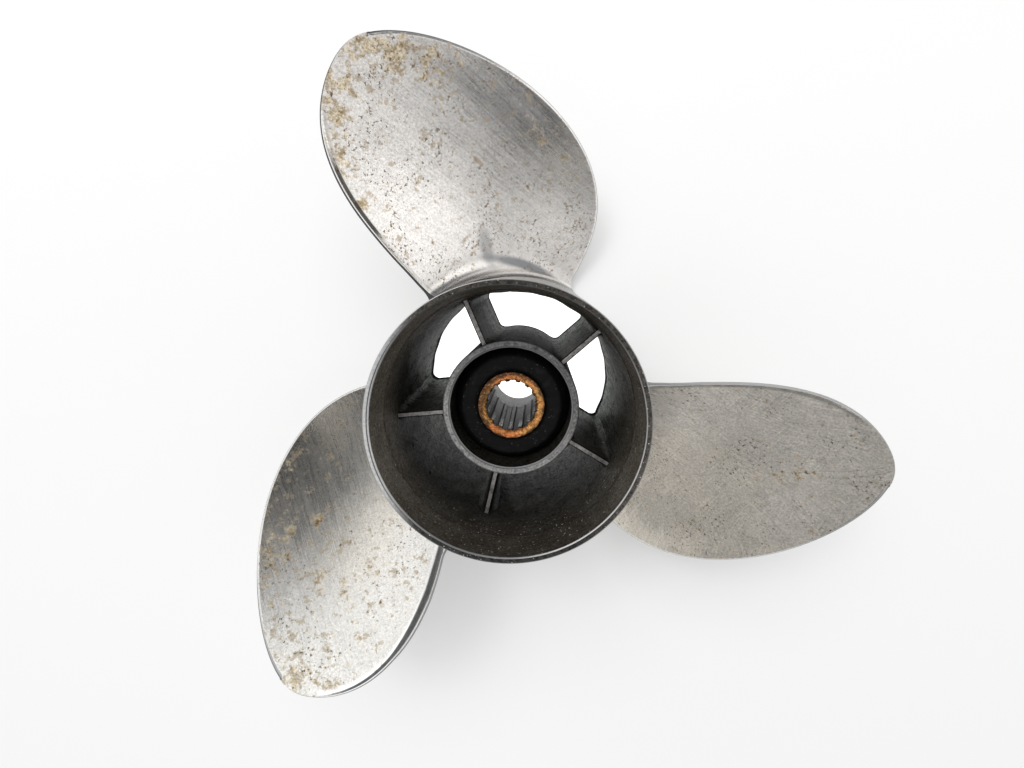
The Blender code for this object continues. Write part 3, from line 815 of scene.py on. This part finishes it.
wallLook = {
    "dark": (0.024, 0.022, 0.018, 1.0), "floorLit": (0.082, 0.091, 0.078, 1.0), "litBelow": (0.100, 0.035),
    "drip": (0.012, 0.013, 0.011, 1.0), "dripShare": 0.90,
    # painted light: up and side make the wall darker towards the bottom and lighter on the right
    "up": (-0.045, -0.010, 0.52, 1.0), "side": (0.015, 0.050, 1.0, 1.6),     # from, to, and the factors there
    "crack": grey(0.004), "crackAbove": (0.030, 0.060), "crackBelow": (0.120, 0.100),
    # painted shadow: mouth is a dark line round the front opening, where the barrel stands on the floor
    "mouth": grey(0.006), "mouthBelow": (0.014, 0.008),      # dark line round the front opening
    "sheen": 0.28,
}
barrelLook = {
    "brown": ((0.080, 0.069, 0.055, 1.0), (0.120, 0.108, 0.091, 1.0)), "castBrown": 0.75,
    # painted light: the brown flare darker towards the bottom and on the right, lighter on the left
    "up": (-0.055, -0.015, 0.38, 1.0), "side": (0.045, -0.045, 0.80, 1.25),
    "castBelow": (0.1316, 0.1324, 1.0, 0.0), "brownAbove": (0.100, 0.130),
    "seamAbove": (0.1305, 0.1314), "seamBelow": (0.1330, 0.1322), "seam": grey(0.012),
    "spark": (0.60, 0.54, 0.45, 1.0), "sparkAbove": (0.108, 0.122), "sparkShare": 0.45,
    "satin": (grey(0.40, 0.01), grey(0.58, 0.01)), "satinFrom": (0.0588, 0.0593),
    # the rim: where it begins, and the places that count as its top, left and right, where its colours change
    # as painted light
    "rimAbove": (0.1500, 0.1505), "top": (0.010, 0.045), "left": (-0.036, -0.056), "right": (0.030, 0.054),
    "rim": ((0.050, 0.049, 0.047, 1.0), (0.105, 0.095, 0.085, 1.0)),         # elsewhere, and at the top and right as painted light
    "rimSpark": grey(0.80),
    "worn": grey(0.66),                      # painted light: a lighter grey on the rim's left side
    "line": grey(0.02), "lineFrom": (0.0582, 0.0584), "lineTo": (0.0589, 0.0587),
    "innerEdge": (grey(0.60), grey(0.16)), "innerWithin": (0.0582, 0.0580),  # painted highlight on the inner edge: elsewhere, top
    "outerEdge": (grey(0.26), grey(0.50)), "outerFrom": (0.0598, 0.0600),    # painted highlight on the outer edge: elsewhere, top and left
}


def sootWall(kit, place, height, look):
    # Cast wall inside the barrel: brown-black high up, grey-green painted light where the floor lights it,
    # with drips and cracks, times 1 plus noise and painted light that is darker towards the bottom and
    # lighter on the right. It also gives its noises, its relief and its metal sheen.
    fine = kit.uneven(place, 900.0, 3.0, 0.75)
    cast = kit.uneven(place, 420.0, 4.0, 0.65)
    blotch = kit.uneven(place, 75.0, 5.0, 0.62)
    drips = kit.noise(kit.mapped(place, scale=(420.0, 420.0, 60.0)), 1.0, 4.0, 0.65, 0.6)
    wall = kit.mix(kit.step(height + blotch * 0.05, *look["litBelow"]), look["dark"], look["floorLit"])
    wall = kit.mix(kit.step(drips + blotch * 0.6, 0.46, 0.60) * look["dripShare"], wall, look["drip"])
    side, up = kit.parts(place)[:2]
    paintedSideLight = kit.step(up, *look["up"]) * kit.step(side, *look["side"])
    wall = kit.shaded(wall, (fine * 3.4 + cast * 3.0 + 1.0) * paintedSideLight)
    crack = kit.noise(kit.mapped(place, scale=(240.0, 240.0, 130.0)), 1.0, 5.0, 0.7, 0.8)
    crack = kit.step(crack, 0.62, 0.67) * kit.step(height, *look["crackAbove"])
    crack = crack * kit.step(height, *look["crackBelow"])
    wall = kit.mix(crack, wall, look["crack"])
    # painted shadow round the front opening
    mouth = kit.step(height, *look["mouthBelow"])
    wall = kit.mix(mouth, wall, look["mouth"])
    sheen = (fine * 2.6 + cast * 2.2 + 1.0) * (1.0 - crack.most(mouth)) * look["sheen"]
    return wall, fine, cast, blotch, cast + drips - crack * 2.0, sheen.clamped()


def rimColour(kit, look, side, up, radius, spark, fine, cast):
    # dark and speckled between two painted highlight edges; lighter at the top and right and light grey on
    # the left, as painted light
    top, left = kit.step(up, *look["top"]), kit.step(side, *look["left"])
    face = kit.mix(top.most(kit.step(side, *look["right"])), *look["rim"])
    face = kit.mix(spark, kit.shaded(face, fine * 3.0 + cast * 2.0 + 1.0), look["rimSpark"])
    # painted light: the rim's left side a lighter grey
    face = kit.mix(left, face, kit.shaded(look["worn"], fine * 1.2 + 1.0))
    line = kit.step(radius, *look["lineFrom"]) * kit.step(radius, *look["lineTo"]) * left
    face = kit.mix(line * 0.85, face, look["line"])
    face = kit.mix(kit.step(radius, *look["innerWithin"]), face, kit.mix(top, *look["innerEdge"]))
    return kit.mix(kit.step(radius, *look["outerFrom"]), face, kit.mix(top.most(left), *look["outerEdge"]))


def barrelFinish(look):
    # outside satin grey, rim as rimColour says, flare brown with turning rings and painted light by side,
    # sooty wall below it
    material, kit = newFinish("barrelSteel")
    place = kit.place()
    side, up, height = kit.parts(place)
    height = height + originHeight
    radius = kit.reach(place)
    wall, fine, cast, blotch, relief, sheen = sootWall(kit, place, height, wallLook)
    outside = kit.step(radius, *look["satinFrom"])
    rim = kit.step(height, *look["rimAbove"])
    deep = kit.step(height, *look["castBelow"])
    rings = kit.uneven(kit.mapped(place, scale=(5.0, 5.0, 1500.0)), 1.0, 2.0, 0.6)
    spark = kit.step(kit.noise(place, 1100.0, 0.0), 0.77, 0.80)
    paintedSideLight = kit.step(up, *look["up"])
    brown = kit.mix(kit.step(blotch, -0.15, 0.15), *look["brown"])
    tone = (fine * 3.0 + rings * 1.2 + cast * 1.0 + 1.0) * paintedSideLight
    brown = kit.shaded(brown, tone * kit.step(side, *look["side"]))
    seam = kit.step(height, *look["seamAbove"]) * kit.step(height, *look["seamBelow"])
    seam = seam * kit.step(blotch + cast, -0.05, 0.12)
    lower = kit.mix(kit.step(height, *look["brownAbove"]), wall, kit.shaded(brown, look["castBrown"]))
    inside = kit.mix(seam * 0.6, kit.mix(deep, brown, lower), look["seam"])
    sparks = spark * kit.step(height, *look["sparkAbove"]) * look["sparkShare"]
    inside = kit.mix(sparks, inside, look["spark"])
    satin = kit.mix(kit.noise(kit.mapped(place, scale=(30.0, 30.0, 900.0)), 1.0, 3.0), *look["satin"])
    face = rimColour(kit, look, side, up, radius, spark, fine, cast)
    colour = kit.mix(rim, kit.mix(outside, inside, satin), face)
    soot = (1.0 - outside) * (1.0 - rim)
    kit.surface(Base_Color=colour, Metallic=soot * (sheen - 0.9) + 0.9,
                Roughness=soot * 0.10 + 0.34 + cast * 0.22, Specular_IOR_Level=0.0,
                Normal=kit.bump(rings * (1.0 - deep) + relief * deep, 0.60, 0.0004))
    return material


addPiece("barrelShell", gridMesh("barrelShell", barrelGrid(barrel), closeRows=True), barrelFinish(barrelLook),
         "barrel_steel", "outer_barrel")
print("barrel made")


# inner hub and ribs

hub = {
    "aft": 0.1137, "front": 0.005, "aftRadius": 0.0319, "frontRadius": 0.0305,
    "boreAft": 0.0284, "boreFront": 0.0268, "chamfer": 0.0009, "edge": 0.0004, "boreEdge": 0.0002,
    "steps": 200, "longest": 0.003,
}
rib = {
    "count": 5, "firstDeg": 48.1, "half": 0.0013, "fillet": 0.0034, "aftFillet": 0.0012, "filletDepth": 0.008,
    "aft": 0.1090, "front": 0.003, "draft": 0.0004, "draftDepth": 0.05,
    "aftEdge": 0.0004, "aftHalf": 0.75, "aftFlare": 0.4,     # rounding, and what it leaves of width, fillet
    "overlap": 0.0006, "foot": 0.0004,       # how far the ends reach into hub and wall, and spread there
    "blend": 0.004,                          # length over which the ends take the walls' curve
    "chatter": (0.0, 0.00024, 0.0, 0.00030, 0.0),            # height of the casting's chatter, rib by rib
    "chatterDepth": (0.004, 0.012), "chatterWaves": (0.0023, 0.0037),
    "levels": 110, "edgeLevels": 6, "bendPoints": 9, "sidePoints": 14,
}


def hubRadiusOutside(height):
    # straight taper between the front and the aft radius
    return np.interp(height, (hub["front"], hub["aft"]), (hub["frontRadius"], hub["aftRadius"]))


def hubGrid(shape):
    # the tube's section, chamfered at the aft end of its bore, turned round the shaft
    aft, front, edge, chamfer = shape["aft"], shape["front"], shape["edge"], shape["chamfer"]
    corners = [(shape["aftRadius"], aft, edge), (shape["frontRadius"], front, edge),
               (shape["boreFront"], front, edge), (shape["boreAft"], aft - chamfer, shape["boreEdge"]),
               (shape["boreAft"] + chamfer, aft, shape["boreEdge"])]
    profile = splitLong(filletProfile(corners), shape["longest"])
    return roundPoints(*turned(profile, shape["steps"]))


def ribLevels(shape):
    # even heights, then a few that close up towards the rounded aft edge
    even = np.linspace(shape["front"], shape["aft"] - 2 * shape["aftEdge"], shape["levels"])
    bend = np.linspace(0.2, 0.5, shape["edgeLevels"]) * np.pi
    return np.append(even, shape["aft"] - 2 * shape["aftEdge"] * np.cos(bend))[:, None]


def ribGrid(shape, index):
    # Plan outline of a rib along +Y at each height: half a width h, widened by fillets f (1 - sin b) and
    # f (1 - cos b) at the hub and at the wall, with b from 0 to 90 degrees. It is mirrored, then turned.
    height = ribLevels(shape)
    near = shape["aft"] - height
    roundOff = np.sqrt(np.clip(1 - np.clip(1 - near / shape["aftEdge"], 0, 1) ** 2, 0.0, 1.0))
    half = shape["half"] + shape["draft"] * smoothStep(near, 0.0, shape["draftDepth"])
    half = half * (shape["aftHalf"] + (1 - shape["aftHalf"]) * roundOff)
    growth = smoothStep(near, 0.0, shape["filletDepth"])
    fillet = shape["aftFillet"] + (shape["fillet"] - shape["aftFillet"]) * growth
    fillet = fillet * (shape["aftFlare"] + (1 - shape["aftFlare"]) * roundOff)
    first, second = (2 * np.pi * height / wave for wave in shape["chatterWaves"])
    chatter = shape["chatter"][index] * smoothStep(near, *shape["chatterDepth"])
    chatter = chatter * (np.sin(first) + 0.7 * np.sin(second + index))

    overlap, foot, blend = shape["overlap"], shape["foot"], shape["blend"]
    inner, outer = hubRadiusOutside(height) - overlap, barrelRadiusInside(height) + overlap
    bend = np.linspace(0.0, np.pi / 2, shape["bendPoints"])[None, :]
    run = np.linspace(0.0, 1.0, shape["sidePoints"])[None, 1:-1]
    xIn, yIn = half + fillet * (1 - np.sin(bend)), inner + overlap + fillet * (1 - np.cos(bend))
    xOut, yOut = half + fillet * (1 - np.cos(bend)), outer - overlap - fillet * (1 - np.sin(bend))
    xMid = half + 0.0 * run
    yMid = (inner + overlap + fillet) + (outer - inner - 2 * overlap - 2 * fillet) * run
    x = [xIn[:, :1] + foot, xIn, xMid, xOut + chatter * np.sin(2 * bend), xOut[:, -1:] + foot]
    x = np.concatenate(x, axis=1)
    y = np.concatenate([inner, yIn, yMid, yOut, outer], axis=1)
    reachIn, reachOut = smoothStep(y, inner + blend, inner), smoothStep(y, outer - blend, outer)
    curved = np.sqrt(np.clip(y * y - x * x, 0, None))
    y = y - reachIn * (y - curved) - reachOut * (y - curved)
    x = np.concatenate([x, -x[:, ::-1]], axis=1)
    y = np.concatenate([y, y[:, ::-1]], axis=1)

    turn = np.radians(shape["firstDeg"] + 360.0 / shape["count"] * index)
    points = np.stack([x * np.cos(turn) + y * np.sin(turn), -x * np.sin(turn) + y * np.cos(turn),
                       height - originHeight + 0.0 * x], axis=-1)
    middle = (points + points[:, ::-1]) / 2                      # the two ends are zipped along the middle
    across = np.stack([x, y], axis=-1)
    centre = across * np.array([0.0, 1.0])
    maps = {"across": np.concatenate([centre[:1], across, centre[-1:]])}
    return np.concatenate([middle[:1], points, middle[-1:]]), maps


castLook = {
    "shadeUnderFace": grey(0.010), "underDepths": (0.0040, 0.0010), "underShare": 0.85,       # painted shade below the aft face
    "faceDepths": (0.0004, 0.0002), "faceMetal": 0.9, "spot": grey(0.05), "spotShare": 0.6,
    # painted light, from this place to that, and the factors there: a rib's side lighter towards the top, the
    # hub's face lighter towards the left and bottom
    "ribPaintedLight": (-0.020, 0.010, 0.80, 1.6), "hubPaintedLight": (0.030, -0.020, 0.62, 1.25), "hubLean": 0.6,
    "rimDepths": (0.0009, 0.0003), "rim": grey(0.06), "rimShare": 0.7,               # the hub's outer edge
    "strip": (0.0007, 0.0010), "besideShade": grey(0.014),        # half width of a rib's light strip, fading out; besideShade is painted shade along both its sides
    "bevel": grey(0.20), "bevelBlur": 0.0001,
    "hubFace": grey(0.29, 0.01), "ribFace": grey(0.34, 0.04),
}


def castFinish(name, aftHeight, faceShade, ring, look):
    # Sooty casting under a pale aft face. The face's tone is 1 plus noise, and plus turning rings where
    # ring is 1, on the hub; ring is 0 on the ribs.
    material, kit = newFinish(name)
    place = kit.place()
    side, up, height = kit.parts(place)
    height = height + originHeight
    radius = kit.reach(place)
    wall, fine, cast, blotch, relief, sheen = sootWall(kit, place, height, wallLook)
    # painted shade: a dark band just below the aft face
    shadeUnderFace = kit.below(height, aftHeight, *look["underDepths"])
    colour = kit.mix(shadeUnderFace * look["underShare"], wall, look["shadeUnderFace"])
    turning = kit.uneven(kit.triple(radius * 1700.0, blotch * 1.5, 0.0), 1.0, 2.0)
    face = kit.shaded(faceShade, turning * ring * 2.0 + fine * 2.6 + cast * 1.4 + 1.0)
    spot = kit.step(kit.noise(kit.moved(place, 3.0, 1.0), 150.0, 3.0), 0.62, 0.70)
    face = kit.mix(spot * look["spotShare"], face, look["spot"])
    if ring:
        # painted light: the hub's face darker at the top and right, lighter at the left and bottom
        face = kit.shaded(face, kit.step(side * look["hubLean"] + up, *look["hubPaintedLight"]))
        rim = kit.below(radius, hub["aftRadius"], *look["rimDepths"])
        face = kit.mix(rim * look["rimShare"], face, look["rim"])
    else:
        # painted light: rib sides lighter at the top, darker at the bottom
        colour = kit.shaded(colour, kit.step(up, *look["ribPaintedLight"]))
        across = kit.parts(kit.uv("across"))[0]
        # painted shade along both sides of the rib's light strip
        full, gone = look["strip"]
        besideShade = kit.step(across, full, gone) + kit.step(across, -full, -gone)
        face = kit.mix(besideShade.clamped(), face, look["besideShade"])
    worn = kit.below(height, aftHeight, *look["faceDepths"])
    colour = kit.mix(worn, colour, face)
    if ring:
        low, bore, blur = aftHeight - hub["chamfer"], hub["boreAft"] + hub["chamfer"], look["bevelBlur"]
        bevel = kit.step(radius, bore + blur, bore - blur) * kit.step(height, low - blur, low + blur)
        colour = kit.mix(bevel, colour, look["bevel"])
    kit.surface(Base_Color=colour, Metallic=sheen + worn * (look["faceMetal"] - sheen),
                Roughness=0.46 + cast * 0.3 - worn * 0.08, Specular_IOR_Level=0.0,
                Normal=kit.bump(relief + fine * 0.5, 0.50, 0.0004))
    return material


addPiece("hubTube", gridMesh("hubTube", hubGrid(hub), closeRows=True),
         castFinish("hubSteel", hub["aft"], castLook["hubFace"], 1.0, castLook), "hub_steel", "inner_hub")
ribSteel = castFinish("ribSteel", rib["aft"], castLook["ribFace"], 0.0, castLook)
for index in range(rib["count"]):
    name = f"rib{index + 1}"
    points, maps = ribGrid(rib, index)
    addPiece(name, gridMesh(name, points, maps=maps), ribSteel, "rib_steel", f"rib_{index + 1}")
print("hub and ribs made")


# rubber and sleeve

rubber = {
    "edge": 0.0950, "edgeRadius": 0.0281, "front": 0.013, "frontRadius": 0.0268,
    "crown": 0.1052, "crownRadius": 0.0236, "lipRadius": 0.0178, "lipDrop": 0.0022, "overlap": 0.0003,
    "unevenAbove": 0.094, "unevenness": 0.00022, "waves": ((0.009, 1.0), (0.0047, 0.6)), "waveRadius": 0.022,
    "steps": 160, "longest": 0.003,
}
sleeve = {
    "radius": 0.0158, "aft": 0.1068, "front": 0.010, "splines": 15, "rootRadius": 0.0125, "tipRadius": 0.0112,
    "firstDeg": -9.9, "toothShare": 0.46, "flankShare": 0.05, "toothReach": (0.0008, 0.0006),
    "endHeight": 0.048, "endSlope": 0.001, "counterbore": 0.0134, "exit": 0.0139,
    "lead": (0.0024, 0.0010),                # the teeth start between these depths
    "rustDepths": (0.0012, 0.0004), "rustRelief": 0.00008, "rimRelief": 0.00009, "waveRadius": 0.014,
    "faceWaves": ((0.0031, 0.8), (0.0017, 0.7), (0.0009, 0.5)), "rimWaves": ((0.0023, 1.0), (0.0011, 0.6)),
    "steps": 450, "longest": 0.0024,
}


def rubberGrid(shape):
    # section with a sloping crown turned round the shaft; ripples lift what lies above the edge
    inside = sleeve["radius"] - shape["overlap"]
    corners = [(shape["crownRadius"], shape["crown"], 0.0012), (shape["edgeRadius"], shape["edge"], 0.0006),
               (shape["frontRadius"], shape["front"], 0.0010), (inside, shape["front"], 0.0),
               (inside, shape["crown"] - shape["lipDrop"], 0.0), (shape["lipRadius"], shape["crown"], 0.0010)]
    profile = splitLong(filletProfile(corners), shape["longest"])
    radius, angle, height = turned(profile, shape["steps"])
    top = height > shape["unevenAbove"] - originHeight
    swell = ripple(radius, angle * shape["waveRadius"], shape["waves"], 21)
    return roundPoints(radius, angle, height + top * shape["unevenness"] * swell)


def nearTop(height, top, deepest, shallowest):
    # 0 further than deepest below the top, 1 nearer than shallowest
    return smoothStep(height, top - deepest - originHeight, top - shallowest - originHeight)


def sleeveGrid(shape):
    # bore radius swings between tooth tips and roots, in rounded blocks round the shaft
    top, low, end, slope = shape["aft"], shape["front"], shape["endHeight"], shape["endSlope"]
    corners = [(shape["radius"], top, 0.0006), (shape["radius"], low, 0.0004), (shape["exit"], low, 0.0004),
               (shape["counterbore"], end - slope, 0.0), (shape["tipRadius"], end + slope, 0.0),
               (shape["tipRadius"], top, 0.0005)]
    profile = splitLong(filletProfile(corners), shape["longest"])
    radius, angle, height = turned(profile, shape["steps"])
    turns = (np.degrees(angle) - shape["firstDeg"]) * shape["splines"] / 360.0
    fromTooth = np.abs(turns - np.round(turns))                  # 0 on a tooth, 0.5 in a groove
    side, flank = shape["toothShare"] / 2, shape["flankShare"]
    groove = smoothStep(fromTooth, side - flank, side + flank)
    groove = np.maximum(groove, nearTop(height, top, *shape["lead"]))
    limit, fade = shape["tipRadius"] + shape["toothReach"][0], shape["toothReach"][1]
    bore = (radius < limit) & (height > end - originHeight)
    depth = (shape["rootRadius"] - shape["tipRadius"]) * np.clip((limit - radius) / fade, 0, 1)
    radius = radius + bore * groove * depth

    face = nearTop(height, top, *shape["rustDepths"])
    arc = angle * shape["waveRadius"]
    height = height + face * ripple(radius, arc, shape["faceWaves"], 8) * shape["rustRelief"]
    radius = radius + face * shape["rimRelief"] * ripple(arc, height, shape["rimWaves"], 9)
    return roundPoints(radius, angle, height)


rubberLook = {
    "shades": (grey(0.0025), grey(0.009)), "dust": (0.50, 0.80),
    "speck": grey(0.20), "speckShare": 0.35, "specular": 0.22,
}
sleeveLook = {
    "rust": ((0.35, 0.125, 0.044, 1.0), (0.34, 0.170, 0.056, 1.0)), "rustDepths": (0.0020, 0.0008),
    "crumbs": ((0.020, 0.012, 0.008, 1.0), (0.16, 0.10, 0.06, 1.0)), "crumbFrom": (0.0140, 0.0152),
    "crumbLean": (-0.07, 0.03), "crumbShare": 0.85,          # more of them to the left and the top
    "bore": ((0.004, 0.004, 0.0035, 1.0), (0.024, 0.025, 0.021, 1.0)),
    "band": (0.135, 0.142, 0.125, 1.0), "bandBelow": (0.050, 0.044), "bandShare": 0.6,
    # groove: painted shade, near-black between the teeth
    "groove": grey(0.003), "grooveFrom": (0.0115, 0.0120), "teethAbove": (0.046, 0.052), "grooveShare": 0.9,
    # tip: painted highlight on the tooth tips
    "tip": grey(0.50), "tipWithin": (0.0118, 0.0113), "tipAbove": (0.085, 0.104), "tipShare": 0.7,
    "mouth": grey(0.010), "mouthBelow": (0.014, 0.011),
    "metal": 0.04, "specular": 0.10,
}


def rubberFinish(look):
    # black rubber: two shades by a dust noise, with a few pale specks
    material, kit = newFinish("bushingRubber")
    place = kit.place()
    dust = kit.noise(place, 260.0, 5.0, 0.65)
    speck = kit.step(kit.noise(place, 1500.0, 0.0), 0.79, 0.83)
    colour = kit.mix(kit.step(dust, *look["dust"]), *look["shades"])
    colour = kit.mix(speck * look["speckShare"], colour, look["speck"])
    kit.surface(Base_Color=colour, Roughness=0.62 + dust * 0.25, Specular_IOR_Level=look["specular"],
                Normal=kit.bump(dust, 0.3, 0.0005))
    return material


def rustColour(kit, place, radius, crust, fine, look):
    # two rusts by a broad noise, times 1 plus finer noise, crumbly towards the outer edge
    broad = kit.noise(kit.moved(place, 5.0, 2.0), 90.0, 2.0)
    rust = kit.mix(kit.step(broad, 0.42, 0.60), *look["rust"])
    rust = kit.shaded(rust, (crust - 0.5) * 3.4 + (fine - 0.5) * 3.4 + 1.0)
    side, up = kit.parts(place)[:2]
    lean = side * look["crumbLean"][0] + up * look["crumbLean"][1]
    edge = radius + (crust - 0.5) * 0.0060 + (broad - 0.5) * 0.005 + lean
    crumb = kit.step(edge, *look["crumbFrom"])
    return kit.mix(crumb * look["crumbShare"], rust, kit.mix(kit.step(fine, 0.56, 0.64), *look["crumbs"]))


def sleeveFinish(look):
    # rust on the aft face; in the bore dark steel with drawn streaks, painted shade in the grooves and
    # painted highlights on the tooth tips
    material, kit = newFinish("sleeveSteel")
    place = kit.place()
    height = kit.parts(place)[2] + originHeight
    radius = kit.reach(place)
    crust = kit.noise(place, 330.0, 6.0, 0.68, 0.5)
    fine = kit.noise(place, 950.0, 3.0, 0.75)
    streak = kit.noise(kit.mapped(place, scale=(600.0, 600.0, 60.0)), 1.0, 4.0, 0.65)
    steel = kit.mix(kit.step(streak, 0.38, 0.70), *look["bore"])
    steel = kit.mix(kit.step(height, *look["bandBelow"]) * look["bandShare"], steel, look["band"])
    groove = kit.step(radius, *look["grooveFrom"]) * kit.step(height, *look["teethAbove"])
    steel = kit.mix(groove * look["grooveShare"], steel, look["groove"])
    # painted highlight: bright spots on the tooth tips
    tip = kit.step(radius, *look["tipWithin"]) * kit.step(fine + crust * 0.5, 0.66, 0.80)
    tip = tip * kit.step(height, *look["tipAbove"])
    steel = kit.mix(tip * look["tipShare"], steel, look["tip"])
    steel = kit.mix(kit.step(height, *look["mouthBelow"]), steel, look["mouth"])
    steel = kit.shaded(steel, (fine - 0.5) * 2.6 + (crust - 0.5) * 1.5 + 1.0)
    rusty = kit.below(height + (crust - 0.5) * 0.003, sleeve["aft"], *look["rustDepths"])
    colour = kit.mix(rusty, steel, rustColour(kit, place, radius, crust, fine, look))
    kit.surface(Base_Color=colour, Metallic=look["metal"], Roughness=0.44 + rusty * 0.38,
                Specular_IOR_Level=look["specular"], Normal=kit.bump(crust + fine * 0.4, 0.6, 0.0005))
    return material


addPiece("rubberBushing", gridMesh("rubberBushing", rubberGrid(rubber), closeRows=True),
         rubberFinish(rubberLook), "bushing_rubber", "rubber_bushing")
addPiece("splineSleeve", gridMesh("splineSleeve", sleeveGrid(sleeve), closeRows=True),
         sleeveFinish(sleeveLook), "sleeve_steel", "splined_sleeve")
print("rubber and sleeve made")


# end

print("scene built")
